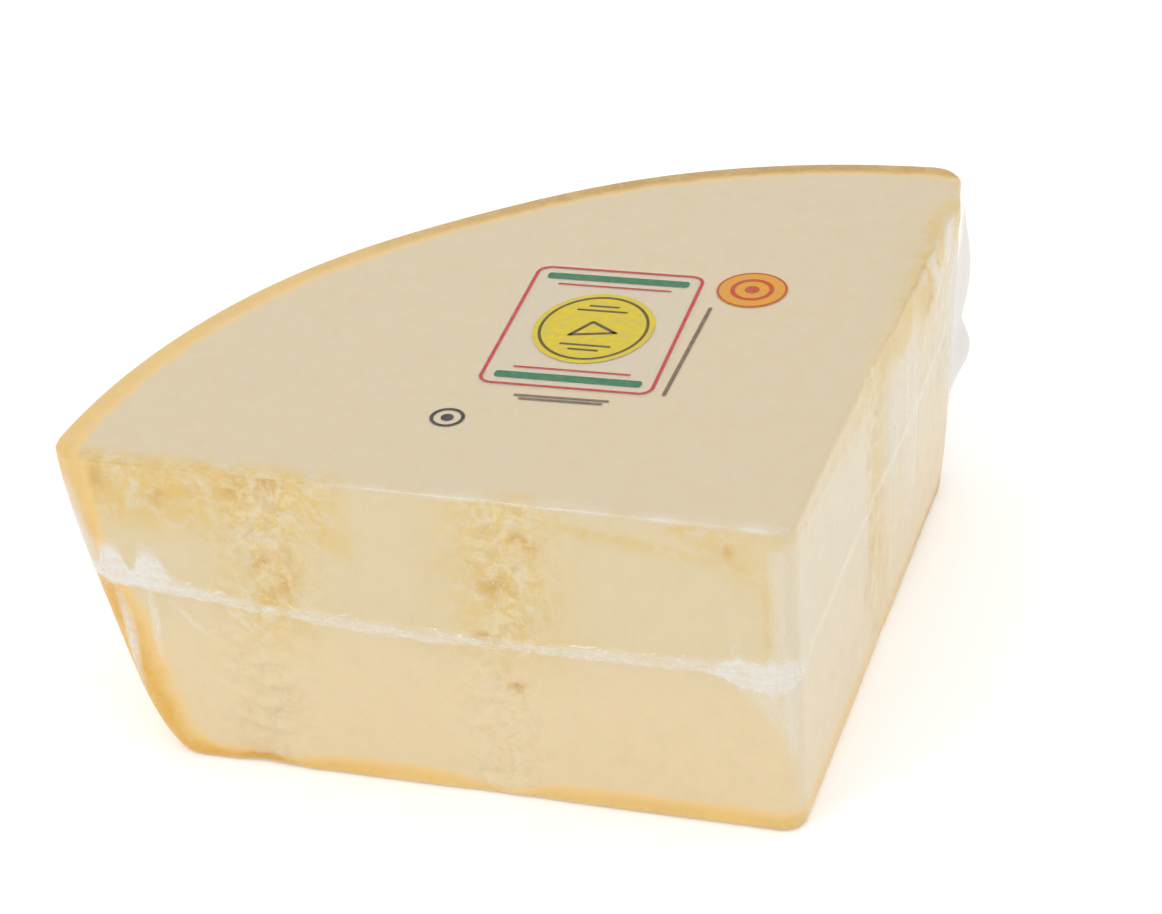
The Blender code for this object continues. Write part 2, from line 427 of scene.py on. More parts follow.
print("pits:", len(FRONT_PITS), "on the front cut and", len(RIGHT_PITS), "on the right one")

# %% [markdown]
# The flakes come from a Voronoi pattern: each cell is one flake with its own depth and tilt. A
# Displace modifier has no such facets, so the points are moved in code. Noise gives the softer
# lumps.


# %% Helpers for torn cheese
FLAKE_WIDE, FLAKE_HIGH = 0.0055, 0.0070


def rough(points, size, octaves=3, seed=0.0):
    """Smooth noise, about -1 to 1, with lumps of `size` metres (one number or one for each axis)."""
    scaled = points / np.array(size)
    shift = Vector((3.1 * seed, 1.7 * seed, 2.3 * seed))
    return np.array([noise.fractal(Vector(p) + shift, 1.0, 2.0, octaves) for p in scaled])


def flakes(along, height, seed):
    """Torn facets: each cell has its own depth, about 0 to 1, and its own tilt."""
    depths = np.empty(len(along))
    for i, (a, h) in enumerate(zip(along / FLAKE_WIDE, height / FLAKE_HIGH)):
        middle = noise.voronoi(Vector((a, h, seed)))[1][0]
        tilt = noise.cell_vector(middle * 11.0)
        depths[i] = tilt.z + (a - middle.x) * (tilt.x - 0.5) + (h - middle.y) * (tilt.y - 0.5)
    return depths


def in_bands(along, height, bands):
    """How torn a place is, 0 to 1, and how deep."""
    share, depth = np.zeros(len(along)), np.zeros(len(along))
    sway = 0.003 * np.sin(height / 0.017) + 0.002 * np.sin(height / 0.006 + 1.0)
    over_weld = rise(0.042, 0.054, height)
    for middle, width, deep, below in bands:
        near = bell(along - middle - sway, width) * (below + (1.0 - below) * over_weld)
        share, depth = np.maximum(share, near), np.maximum(depth, near * deep)
    return share, depth


def dented(along, height, dents):
    """Depth of the single dents; a bump counts as less than nothing."""
    return sum(d * bell(along - a, la) * bell(height - h, lh) for a, h, la, lh, d in dents)


def pitted(along, height, pits):
    """1 in the middle of each dark pit."""
    return np.clip(sum(bell(np.hypot(along - a, height - h), r) for a, h, r in pits), 0.0, 1.0)


def sides_of(points, normals):
    """How much each point faces the front, the right and the rind's side, 0 to 1."""
    outward = points[:, :2] / np.maximum(np.linalg.norm(points[:, :2], axis=1), 1e-9)[:, None]
    to_rind = (normals[:, :2] * outward).sum(axis=1)
    return rise(0.3, 0.9, -normals[:, 1]), rise(0.3, 0.9, normals[:, 0]), rise(0.3, 0.9, to_rind)


# %% [markdown]
# First a bite goes out of the right cut's upper edge near the far end, where a lump broke off. Then
# the places are worked out where the cheese is pressed in along each point's own direction: by the
# flakes of the torn bands, the dents and the pits. How torn and how dark a place is, is kept for the
# material.

# %% Bands, dents and pits
BITE_AT, BITE_UP, BITE_DEEP = 0.175, 0.097, 0.0034
points, normals = read_points(cheese), read_normals(cheese)
along_front, along_right, height = -points[:, 0], points[:, 1], points[:, 2]
on_front, on_right, _ = sides_of(points, normals)
bite = bell(along_right - BITE_AT, 0.0060) * bell(height - BITE_UP, 0.011)
points[:, 0] -= BITE_DEEP * bite * rise(0.022, 0.0, along_front)

sunk, torn, pits = (np.zeros(len(points)) for _ in range(3))
for side, along, bands, dents, dark in (
    (on_front, along_front, FRONT_BANDS, FRONT_DENTS, FRONT_PITS),
    (on_right, along_right, RIGHT_BANDS, RIGHT_DENTS, RIGHT_PITS),
):
    share, depth = in_bands(along, height, bands)
    here = (side > 0.01) & (share > 0.02)
    facets = np.zeros(len(points))
    facets[here] = flakes(along[here], height[here], 0.5)
    holes = pitted(along, height, dark)
    depth = depth * (0.45 + 0.55 * rise(0.094, 0.084, height))
    sunk += side * (depth * (0.25 + 0.80 * facets) + dented(along, height, dents) + 0.0007 * holes)
    torn = np.maximum(torn, side * share)
    pits = np.maximum(pits, side * holes)
print("deepest flake or pit:", round(float(sunk.max()) * 1000, 2), "mm")

# %% [markdown]
# The two upper edges have crumbled where the knife stopped short, and the right one is worn down in
# its middle. The film will sink in over them too, so both are functions of the place alone. So is a
# line across the cut, for the crease at the near corner.

# %% How the edges have crumbled
WORN_DOWN = 0.0024


def line_near(a, b, line, width):
    """1 on a line through the given places, fading over `width`."""
    nearest = np.full(len(a), 9.0)
    for (a0, b0), (a1, b1) in zip(line, line[1:]):
        length = math.hypot(a1 - a0, b1 - b0)
        share = np.clip(((a - a0) * (a1 - a0) + (b - b0) * (b1 - b0)) / length**2, 0.0, 1.0)
        nearest = np.minimum(
            nearest, np.hypot(a - a0 - share * (a1 - a0), b - b0 - share * (b1 - b0))
        )
    return bell(nearest, width)


def crumbled_edges(along_front, along_right, height):
    """How much the two upper edges have crumbled away, 0 to 1."""
    to_front_edge = np.hypot(along_right, HEIGHT - height)
    to_right_edge = np.hypot(along_front, HEIGHT - height)
    share = rise(0.116, 0.136, along_front) * bell(to_front_edge, 0.0050)
    share = share + bell(along_front - 0.076, 0.008) * bell(to_front_edge, 0.0040)
    return share + 0.30 * rise(0.080, 0.105, along_right) * bell(to_right_edge, 0.0045)


def worn_edge(along_front, along_right, height):
    """How many metres the right upper edge is worn down in its middle."""
    to_right_edge = np.hypot(np.maximum(along_front, 0.0), HEIGHT - height)
    share = 0.5 * rise(0.080, 0.105, along_right) + 0.5 * rise(0.112, 0.132, along_right)
    return WORN_DOWN * share * rise(0.172, 0.158, along_right) * bell(to_right_edge, 0.0058)


# %% [markdown]
# Near the foot of the left band the paste has broken in curved steps, like a shell, and a fine
# roughness of a tenth of a millimetre goes over both cuts. It is all added to the depth so far, and
# only then are the points moved. Noise is slow for so many points, so it is worked out only where it
# shows.

# %% Steps, edges and fine roughness
from_middle = along_front - 0.153
in_steps = bell(from_middle, 0.012) * rise(0.040, 0.030, height) * rise(0.006, 0.012, height)
arch = height - 0.10 * from_middle - 26.0 * from_middle**2
sunk += on_front * in_steps * 0.0010 * np.sin(arch / 0.0076 * 2 * math.pi)
torn = np.maximum(torn, 0.6 * on_front * in_steps)
crease = line_near(along_front, height, CREASE, 0.0024)
sunk += on_front * 0.0005 * crease

crumbled = crumbled_edges(along_front, along_right, height)
here = crumbled > 0.01
lumpy = np.zeros(len(points))
lumpy[here] = rough(points[here], 0.0050, 3, 21.0)
sunk += 0.0012 * crumbled * np.clip(0.60 + lumpy, 0.45, 1.5)
sunk += worn_edge(along_front, along_right, height)

cut = np.maximum(on_front, on_right)
fine = np.zeros(len(points))
fine[cut > 0.01] = rough(points[cut > 0.01], 0.0026, 3, 2.0)
sunk += cut * (0.00010 + 0.00012 * fine)
write_points(cheese, points - normals * sunk[:, None])
print("deepest place:", round(float(sunk.max()) * 1000, 2), "mm")

# %% [markdown]
# Four numbers are stored with each point for the material: how far it lies from the crust, how torn
# it is, how dark as a pit, and how mustard yellow. The distance to the crust is counted in crust
# widths, because the crust shows 7 mm wide on the top but up to 12 mm wide on the front cut, where
# the corner is worn round. A stored number ends at 1, so the count is shared out over eight widths.

# %% How far the crust is
FARTHEST = 8.0
TOP_CRUST = 7.3
turn = np.arctan2(np.maximum(points[:, 1], 0.0), np.maximum(-points[:, 0], 1e-6))
from_side = wheel_side(turn, height) - CHEESE_INSIDE - np.hypot(points[:, 0], points[:, 1])
crust_width = np.interp(height, (0.000, 0.010, 0.045, 0.060, 0.075, 0.096), (9.5, 11.5, 12, 10, 9, 10))
crust_width = 0.001 * (TOP_CRUST + (crust_width - TOP_CRUST) * rise(0.0, 0.6, on_front))
write_attribute(cheese, "to_crust", from_side / crust_width / FARTHEST)
print("crust from", round(float(crust_width.min()) * 1000, 1), "mm wide")

# %% [markdown]
# The mustard yellow on the front cut lies in a patch at the upper left, in a strip under the upper
# edge, in the two bands and along the crease. On the right cut it lies round the lump at the far
# end, in the band, and at the top where the film clings.

# %% Where the cheese is mustard yellow
def patch(a, b, corners, soft):
    """1 inside a patch whose corners go round clockwise, fading to 0 at its outline."""
    inside = np.full(len(a), 9.0)
    for (a0, b0), (a1, b1) in zip(corners, corners[1:] + corners[:1]):
        length = math.hypot(a1 - a0, b1 - b0)
        inside = np.minimum(inside, ((a - a0) * (b1 - b0) - (b - b0) * (a1 - a0)) / length)
    return rise(-soft / 2, soft / 2, inside)


upper_left = ((0.126, 0.074), (0.126, 0.100), (0.215, 0.100), (0.215, 0.076))
under_edge = ((-0.002, 0.064), (-0.002, 0.096), (0.094, 0.096), (0.066, 0.086), (0.016, 0.078))
yellow_front = np.maximum(
    patch(along_front, height, upper_left, 0.016),
    patch(along_front, height, under_edge, 0.008) * rise(-0.012, 0.045, along_front),
)
band_one = bell(along_front - 0.150, 0.013) * rise(0.030, 0.055, height)
band_two = bell(along_front - 0.081, 0.016) * rise(0.030, 0.062, height)
yellow_front = np.maximum(yellow_front, 0.9 * np.maximum(band_one, band_two))
yellow_front = np.maximum(yellow_front, 0.6 * crease)

# On the top face the yellow spills a few millimetres over the two cut edges.
over_front_edge = rise(0.2, 0.8, normals[:, 2]) * rise(0.0095, 0.0020, along_right)
over_front_edge *= np.maximum(
    rise(0.112, 0.136, along_front), 0.8 * bell(along_front - 0.076, 0.008)
)
near_lump = bell(along_right - 0.155, 0.021)
over_right_edge = rise(0.2, 0.8, normals[:, 2] + on_right)
over_right_edge *= rise(0.0065, 0.0010, along_front + 0.003)
over_right_edge *= rise(0.080, 0.088, height) * rise(0.040, 0.110, along_right)
lump = near_lump * bell(height - 0.088, 0.018)
rough_band = bell(along_right - 0.092, 0.009) * rise(0.014, 0.026, height)
clinging = rise(0.074, 0.086, height) * (0.20 + 0.80 * rise(0.040, 0.100, along_right))
yellow_right = np.maximum(np.maximum(lump, 0.5 * rough_band), 0.8 * clinging)
mustard = np.maximum(on_front * yellow_front, on_right * yellow_right)
over_right_edge *= 0.50 + 0.50 * near_lump
mustard = np.maximum(mustard, np.maximum(0.9 * over_front_edge, over_right_edge))
write_attribute(cheese, "torn", np.maximum(torn, 0.8 * np.clip(crumbled, 0.0, 1.0)))
write_attribute(cheese, "pit", pits)
write_attribute(cheese, "mustard", mustard)
only(cheese)
bpy.ops.object.shade_smooth_by_angle(angle=math.radians(40))
print("mustard yellow on", round(100 * float((mustard > 0.5).mean())), "% of the points")

# %% [markdown]
# Real cheese has no even colour, so its material mixes many. The helpers for that work out sums and
# products, go softly from one limit to another, read a stored number, and lay one tint after another
# over a colour, as a painter does.


# %% Helpers for mixed colours
def result_of(tree, operation, *values, clamp=False):
    """The result of one Math node."""
    made = add(tree, "ShaderNodeMath", dict(enumerate(values)), operation=operation)
    made.use_clamp = clamp
    return made.outputs[0]


def product(tree, first, second, clamp=False):
    """Two values multiplied with each other."""
    return result_of(tree, "MULTIPLY", first, second, clamp=clamp)


def between(tree, value, low, high, start=0.0, end=1.0):
    """Goes softly from `start` to `end` as the value goes from low to high."""
    made = add(
        tree,
        "ShaderNodeMapRange",
        {"Value": value, "From Min": low, "From Max": high, "To Min": start, "To Max": end},
        interpolation_type="SMOOTHSTEP",
    )
    return made.outputs["Result"]


def stored(tree, name):
    """A number that the mesh keeps for each of its points."""
    return add(tree, "ShaderNodeAttribute", attribute_name=name).outputs["Fac"]


def layered(tree, colour, *tints):
    """Lays tints over a colour, each by its share."""
    for share, tint in tints:
        colour = blend(tree, share, colour, (*tint, 1.0))
    return colour


# %% [markdown]
# The paste is pale straw and slightly see-through, with fine grains and little white specks. Near the
# crust it turns to a warmer yellow, and the crust itself is a golden skin, with painted shade that
# makes it browner at the far end. One material does it all, because the colours run into each other:
# the distance to the crust picks the colour, and noise moves that distance about so that no border is a
# clean line.

# %% How far each place is from the crust
FOOT_CRUST = 0.0052
paste, tree, surface, place = new_material("straw_paste_with_golden_rind")
axes = add(tree, "ShaderNodeSeparateXYZ", {0: place}).outputs
broad = clouds(tree, place, 22.0, 2.0)
mottle = clouds(tree, place, 160.0, 4.0, 0.6)
patchy = clouds(tree, place, 140.0, 5.0, 0.70, 0.8)
crumbs = clouds(tree, place, 250.0, 4.0, 0.68, 0.6)
grains = clouds(tree, place, 700.0, 3.0, 0.6)
torn_here, mustard_here = stored(tree, "torn"), stored(tree, "mustard")

from_crust = product(tree, stored(tree, "to_crust"), FARTHEST)
from_base = result_of(tree, "DIVIDE", axes["Z"], FOOT_CRUST)
from_base = result_of(tree, "MULTIPLY_ADD", torn_here, 1.2, from_base)
to_crust = result_of(tree, "SMOOTH_MIN", from_crust, from_base, 1.0)
wandering = product(tree, result_of(tree, "SUBTRACT", mottle, 0.5), 0.5)
to_crust = result_of(tree, "ADD", to_crust, wandering)

# %% [markdown]
# The paste begins as two straw colours in broad clouds. Over them go a warmer tint low down, a
# slightly darker, greyer tone on the top face, dull clouds and white specks. Where the cheese is
# mustard yellow it gets yellow and amber patches, and where it is torn it gets pale flakes, which are
# painted highlights, and brownish hollows, which are painted shade. In the pits it is darkest.

# %% The paste
low_down = between(tree, axes["Z"], 0.060, 0.030)
# A slightly darker, greyer tone on the top face.
darker_top_tone = between(tree, axes["Z"], 0.0925, 0.0948)
duller = between(tree, mottle, 0.42, 0.75, 0.0, 0.25)
specks = between(tree, grains, 0.55, 0.80, 0.0, 0.25)
yellowed = product(tree, mustard_here, between(tree, patchy, 0.34, 0.54))
amber = product(tree, mustard_here, between(tree, patchy, 0.54, 0.72, 0.0, 0.65))
# Painted highlight: pale patches on the torn paste, standing in for lit flake faces.
painted_lit_flakes = product(tree, torn_here, between(tree, crumbs, 0.56, 0.36, 0.0, 0.50))
# Painted shade: brownish patches on the torn paste, standing in for shaded hollows.
painted_hollow_shade = product(tree, torn_here, between(tree, crumbs, 0.52, 0.66, 0.0, 0.34))
dark = product(tree, stored(tree, "pit"), between(tree, crumbs, 0.36, 0.58, 0.15, 0.85))
straw = layered(
    tree,
    blend(tree, broad, (0.660, 0.545, 0.342, 1.0), (0.636, 0.526, 0.324, 1.0)),
    (low_down, (0.700, 0.553, 0.330)),
    (darker_top_tone, (0.632, 0.520, 0.345)),
    (duller, (0.605, 0.478, 0.267)),
    (specks, (0.72, 0.645, 0.48)),
    (product(tree, yellowed, 0.85), (0.655, 0.455, 0.135)),
    (amber, (0.630, 0.410, 0.122)),
    (painted_lit_flakes, (0.750, 0.650, 0.430)),
    (painted_hollow_shade, (0.590, 0.400, 0.140)),
    (dark, (0.570, 0.330, 0.080)),
)

# %% [markdown]
# The crust is a reddish gold at the foot of the left end, lighter higher up, and darker brown towards
# the far end, where the brown is painted shade. Flecks and clouds in browner and paler gold keep it
# from looking painted. Between crust and straw lies the warmer zone, and it ends a little sooner near
# the top.

# %% The crust
to_the_left = between(tree, axes["X"], 0.000, -0.075)
higher = between(tree, axes["Z"], 0.060, 0.092)
# Painted shade: the crust turns brown towards the far end.
painted_far_end_shade = between(tree, axes["Y"], -0.020, 0.090)
flecks = between(tree, grains, 0.45, 0.75, 0.0, 0.25)
browner = between(tree, broad, 0.45, 0.70, 0.0, 0.30)
paler = between(tree, patchy, 0.44, 0.66, 0.0, 0.32)
crust_colour = layered(
    tree,
    (0.730, 0.490, 0.155, 1.0),
    (to_the_left, (0.665, 0.365, 0.048)),
    (higher, (0.700, 0.470, 0.160)),
    (painted_far_end_shade, (0.450, 0.265, 0.050)),
    (flecks, (0.72, 0.55, 0.30)),
    (browner, (0.56, 0.35, 0.105)),
    (paler, (0.720, 0.520, 0.215)),
)
soft_end = between(tree, axes["Z"], 0.020, 0.085, 1.50, 1.35)
away = between(tree, to_crust, 0.95, soft_end)
warm = blend(tree, away, (0.760, 0.520, 0.200, 1.0), straw)
colour = blend(tree, between(tree, to_crust, 0.60, 1.20), crust_colour, warm)
print("colours of the cheese:", len(tree.nodes), "nodes")

# %% [markdown]
# The paste's surface is dull with fine grains, and rougher where it is torn. The crust shows the weave
# of the cloth that the young cheese was pressed in, as faint crossing lines. Both are bumps in the
# material, because they are finer than the mesh.

# %% The surface of paste and crust
flake_edges = add(
    tree, "ShaderNodeTexVoronoi", {"Vector": place, "Scale": 260.0}, feature="DISTANCE_TO_EDGE"
).outputs["Distance"]
chips = product(tree, torn_here, between(tree, flake_edges, 0.0, 0.25, 0.0, 0.8))
from_axis = add(
    tree, "ShaderNodeVectorMath", {0: place, 1: tuple(WHEEL_AXIS)}, operation="SUBTRACT"
).outputs[0]
flat_axes = add(tree, "ShaderNodeSeparateXYZ", {0: from_axis}).outputs
round_side = result_of(tree, "ARCTAN2", flat_axes["Y"], flat_axes["X"])
upright_threads = result_of(tree, "SINE", product(tree, round_side, 900.0))
level_threads = result_of(tree, "SINE", product(tree, axes["Z"], 4200.0))
weave = product(tree, upright_threads, level_threads)
weave = product(tree, weave, between(tree, to_crust, 0.6, 0.2, 0.0, 0.15))
grainy = result_of(tree, "ADD", grains, mottle)
relief = result_of(tree, "ADD", grainy, result_of(tree, "ADD", chips, weave))
bumps = add(tree, "ShaderNodeBump", {"Height": relief, "Distance": 0.0004, "Strength": 0.35})
more = {
    "Specular IOR Level": 0.25,
    "Subsurface Weight": 0.12,
    "Subsurface Radius": (1.0, 0.6, 0.25),
    "Subsurface Scale": 0.004,
    "Normal": bumps.outputs[0],
}
dull = between(tree, mottle, 0.3, 0.7, 0.45, 0.60)
tree.links.new(principled(tree, colour, dull, more), surface)
cheese.data.materials.append(paste)
print("cheese material:", len(tree.nodes), "nodes")

# %% [markdown]
# The film is drawn tight by the vacuum, so it follows the cheese and half bridges the torn places. At
# the far corner it stands off in two soft bulges. The same function also tells the weld and the
# folds how far out the film lies under them.


# %% The film's own shape
# The two bulges: how far out, how high up and how tall. Both have their middle before the corner.
FAR_BULGES = ((0.0068, 0.066, 0.018), (0.0088, 0.0425, 0.009))
BEFORE_CORNER, BULGE_WIDE = 0.009, 0.018


def film_relief(points, normals):
    """How far the film stands out from the plain wedge, and how much of that is the far bulge."""
    on_front, on_right, _ = sides_of(points, normals)
    along_front, along_right, height = -points[:, 0], points[:, 1], points[:, 2]
    out, torn = np.zeros(len(points)), np.zeros(len(points))
    for side, along, bands, dents in (
        (on_front, along_front, FRONT_BANDS, FRONT_DENTS),
        (on_right, along_right, RIGHT_BANDS, RIGHT_DENTS),
    ):
        share, depth = in_bands(along, height, bands)
        out -= side * (0.20 * depth + 0.9 * dented(along, height, dents))
        torn = np.maximum(torn, side * share)
    out -= 0.0003 * torn * (0.5 + rough(points, 0.009, 3, 5.0))
    out -= 0.0003 * on_front * line_near(along_front, height, CREASE, 0.0032)
    out -= 0.0005 * crumbled_edges(along_front, along_right, height)
    out -= worn_edge(along_front, along_right, height)
    corner = np.hypot(
        points[:, 0] + BEFORE_CORNER, points[:, 1] - wheel_side(math.pi / 2, height)
    )
    bulge = np.max([most * bell(height - up, tall) for most, up, tall in FAR_BULGES], axis=0)
    facing = np.clip(np.maximum(0.5 * normals[:, 1], normals[:, 0]), 0.0, 1.0)
    far_bulge = bulge * facing * bell(corner, BULGE_WIDE)
    return out + far_bulge, far_bulge


points, normals = read_points(film), read_normals(film)
out, far_bulge = film_relief(points, normals)
write_points(film, points + normals * out[:, None])
only(film)
bpy.ops.object.shade_smooth()
print("film: bulges out", round(float(far_bulge.max()) * 1000, 1), "mm at the far corner")

# %% [markdown]
# How milky the film looks is stored with each point: it is clear where it touches the cheese and
# whitish where there is air behind it. The same number also carries painted highlights. Seen on the
# front cut, it bridges both corners and a triangle under the weld, has a painted highlight along the
# upper edge, and shows small pale flecks in the torn bands, which are partly film over small hollows
# and partly painted highlights.

# %% How milky the film is on the front cut, with its painted highlights
along_front, along_right, height = -points[:, 0], points[:, 1], points[:, 2]
on_front, on_right, on_rind = sides_of(points, normals)
round_corner = along_right - along_front
# This number holds the film's milkiness and also painted highlights.
milk_and_painted_gleams = np.full(len(points), 0.02)

triangle = patch(along_front, height, ((0.0012, 0.0270), (-0.004, 0.0450), (0.0150, 0.0450)), 0.0045)
near_strip = bell(round_corner + 0.0005, 0.0016 + 0.0034 * rise(0.014, 0.045, height))
near_strip *= rise(0.016, 0.030, height) * rise(0.056, 0.052, height) * rise(0.040, 0.020, along_front)
near_cover = on_front * rise(0.0090, 0.0050, along_front) * rise(0.050, 0.056, height)
near_cover *= rise(0.0905, 0.0885, height)
from_end = wheel_side(0.0, height) - along_front
breaks = rough(points, 0.011, 2, 17.0)
left_cover = rise(0.0115, 0.0060, from_end + 0.0030 * rise(0.062, 0.086, height) + 0.002 * breaks)
left_cover *= (
    rise(0.0140, 0.0080, along_right) * rise(0.052, 0.060, height) * rise(0.091, 0.082, height)
)
# Painted highlight: a thin milky line along the front upper edge, standing in for the lamp's gleam.
painted_edge_gleam = rise(0.136, 0.112, along_front) * bell(height - 0.0951, 0.0006)
painted_edge_gleam *= rise(0.0050, 0.0025, along_right)
for area, most in (
    (on_front * triangle, 0.34),
    (near_strip, 0.55),
    (near_cover, 0.36),
    (left_cover, 0.58 + 0.30 * breaks),
    (painted_edge_gleam, 0.34 + 0.50 * breaks),
):
    milk_and_painted_gleams = np.maximum(milk_and_painted_gleams, most * area)
# Small pale flecks over the torn bands: partly film over small hollows, partly painted highlights.
over_torn = np.maximum(
    in_bands(along_front, height, FRONT_BANDS)[0] * on_front,
    0.8 * on_front * rise(0.110, 0.130, along_front) * rise(0.076, 0.086, height),
)
over_torn *= 1.0 - pitted(along_front, height, FRONT_PITS)
here = over_torn > 0.05
flecks = np.zeros(len(points))
flecks[here] = rough(points[here], (0.0055, 0.0055, 0.0040), 2, 31.0)
milk_and_painted_gleams = np.maximum(milk_and_painted_gleams, 0.14 * over_torn * rise(0.10, 0.55, flecks))
print("film: on the front cut at most", round(float((milk_and_painted_gleams * on_front).max()), 2), "milk_and_painted_gleams")

# %% [markdown]
# On the right cut the film bridges two wide hollows, below a strip along the top edge where it
# clings. It clings to the lump at the far end as well, with a painted highlight on it that is stored
# as milkiness, and spans the bite behind the lump. The bulge at the far corner is the milkiest, and
# the rind's side is nearly clear.

# %% How milky the film is elsewhere, with a painted highlight on the lump
cling_line = np.interp(
    along_right,
    (0.000, 0.007, 0.029, 0.052, 0.076, 0.101, 0.148, 0.215),
    (0.0905, 0.0900, 0.0884, 0.0869, 0.0854, 0.0838, 0.0842, 0.0850),
)
streaks = rough(points * np.array((0.0, 1.0, 1.0)), (1.0, 0.0075, 0.060), 3, 9.0)
soft_clouds = rough(points, 0.020, 2, 4.0)
first_hollow = rise(0.086, 0.078, along_right) * (0.28 + 0.05 * soft_clouds)
second_hollow = rise(0.100, 0.110, along_right) * (0.30 + 0.18 * streaks + 0.06 * soft_clouds)
second_hollow *= 1.0 - 0.60 * rise(0.130, 0.150, along_right)
clings = bell(along_right - 0.163, 0.018) * bell(height - 0.086, 0.014)
hollows = np.maximum(first_hollow, second_hollow) * rise(0.0010, -0.0010, height - cling_line)
milk_and_painted_gleams = np.maximum(milk_and_painted_gleams, on_right * hollows * (1.0 - clings) * rise(-0.020, 0.040, height))
over_bite = rise(0.2, 0.7, on_right) * bell(along_right - 0.177, 0.006) * rise(0.076, 0.084, height)
shoulder = rise(0.1, 0.4, normals[:, 0])
# Painted highlight: a cream glint on the lump's shoulder, stored as milkiness.
painted_lump_glint = bell(along_right - 0.158, 0.0048) * bell(height - 0.0870 - 0.003 * breaks, 0.0055) * shoulder
milk_and_painted_gleams = np.maximum(milk_and_painted_gleams, 0.72 * over_bite)
milk_and_painted_gleams = np.maximum(milk_and_painted_gleams, 0.75 * painted_lump_glint)
ear = np.clip(far_bulge / 0.0013, 0.0, 1.0) * (0.30 + 0.62 * rise(0.1, 0.6, normals[:, 0]))
milk_and_painted_gleams = np.maximum(milk_and_painted_gleams, ear * (1.0 + 0.35 * breaks * (1.0 - on_right)))
milk_and_painted_gleams = np.maximum(milk_and_painted_gleams, on_rind * 0.03 * (1.0 + soft_clouds))
write_attribute(film, "milk_and_painted_gleams", milk_and_painted_gleams)
print("film: milkiest place", round(float(milk_and_painted_gleams.max()), 2))

# %% [markdown]
# Tight and crumpled film crease in the same way, only not as much. So the creases are a node group,
# built once: long waves with finer ripples on them. They could be modelled, but they are finer than
# the mesh, so they are a height for a Bump node.


# %% A node group for the film's creases
def new_group(name, inputs, outputs):
    """A shader node group with these sockets, and the sockets of its two ends."""
    group = bpy.data.node_groups.new(name, "ShaderNodeTree")
    for sockets, side in ((inputs, "INPUT"), (outputs, "OUTPUT")):
        for socket, kind in sockets.items():
            group.interface.new_socket(name=socket, in_out=side, socket_type=f"NodeSocket{kind}")
    return group, add(group, "NodeGroupInput").outputs, add(group, "NodeGroupOutput").inputs


film_creases, given, gives = new_group(
    "film_creases",
    {"Place": "Vector", "Ripples": "Float", "Crinkled": "Float"},
    {"Height": "Float"},
)
ripple = clouds(film_creases, given["Place"], given["Ripples"], 3.0, 0.55)
long_waves = product(film_creases, given["Ripples"], 0.2)
waves = clouds(film_creases, given["Place"], long_waves, 2.0, 0.5)
waves = product(film_creases, waves, 0.5)
crease_height = result_of(film_creases, "MULTIPLY_ADD", ripple, given["Crinkled"], waves)
film_creases.links.new(crease_height, gives["Height"])
print("group:", film_creases.name, len(film_creases.nodes), "nodes")

# %% [markdown]
# Clear film can be made of glass, but two walls a millimetre apart cost many bounces and darken what
# is under them. A thin film is better as a mix: it lets the light straight through, and a mirror
# takes over as the view gets slanting, by Fresnel's law. Over that lies the milky white of the
# places with air behind, which also carries the painted highlights. Seen from inside, the film on the
# far side doesn't show at all.


# %% The material of film, weld and folds
def film_material(name, ripples, crinkled, strength):
    """Clear film that mirrors, and turns white by the milkiness and painted highlights stored with its
    points.
    """
    material, tree, surface, place = new_material(name)
    uneven = clouds(tree, place, ripples, 3.0, 0.55)
    uneven = between(tree, uneven, 0.25, 0.75, 1.0 - 0.3 * crinkled, 1.0 + 0.3 * crinkled)
    milk_and_painted_gleams = product(tree, stored(tree, "milk_and_painted_gleams"), uneven)
    values = {"Place": place, "Ripples": ripples, "Crinkled": crinkled}
    height = add(tree, "ShaderNodeGroup", values, node_tree=film_creases).outputs["Height"]
    bumps = {"Height": height, "Distance": 0.0006, "Strength": strength}
    creases = add(tree, "ShaderNodeBump", bumps).outputs[0]
    inside = add(tree, "ShaderNodeNewGeometry").outputs["Backfacing"]
    outside = result_of(tree, "SUBTRACT", 1.0, inside)
    fresnel = add(tree, "ShaderNodeFresnel", {"IOR": 1.45, "Normal": creases}).outputs[0]
    mirror = product(tree, product(tree, fresnel, 0.50), outside)
    shine = {"Color": WHITE, "Roughness": 0.10, "Normal": creases}
    gloss = add(tree, "ShaderNodeBsdfGlossy", shine).outputs[0]
    window = add(tree, "ShaderNodeBsdfTransparent").outputs[0]
    clear = add(tree, "ShaderNodeMixShader", {0: mirror, 1: window, 2: gloss}).outputs[0]
    more = {"Specular IOR Level": 0.20, "Normal": creases}
    milk = principled(tree, (0.705, 0.678, 0.625, 1.0), 0.35, more)
    cover = product(tree, milk_and_painted_gleams, outside, clamp=True)
    finish = add(tree, "ShaderNodeMixShader", {0: cover, 1: clear, 2: milk}).outputs[0]
    tree.links.new(finish, surface)
    print(name, "made of", len(tree.nodes), "nodes")
    return material


film.data.materials.append(film_material("tight_clear_film", 300.0, 0.10, 0.12))
crumpled_film = film_material("crumpled_clear_film", 450.0, 0.60, 0.16)

# %% [markdown]
# The weld is where the two sheets of film were sealed and then shrunk: a crumpled whitish ridge that
# wanders round the sides at mid height. A curve with a bevel would look like a cord. Instead a long
# grid is laid round the wedge as a belt, arched outwards, and crumpled with noise that is as fine as
# the real creases. It lies flat and nearly clear on the right cut, and widens into crumpled flaps at
# the left corner and at the near corner. First comes the path that it follows.

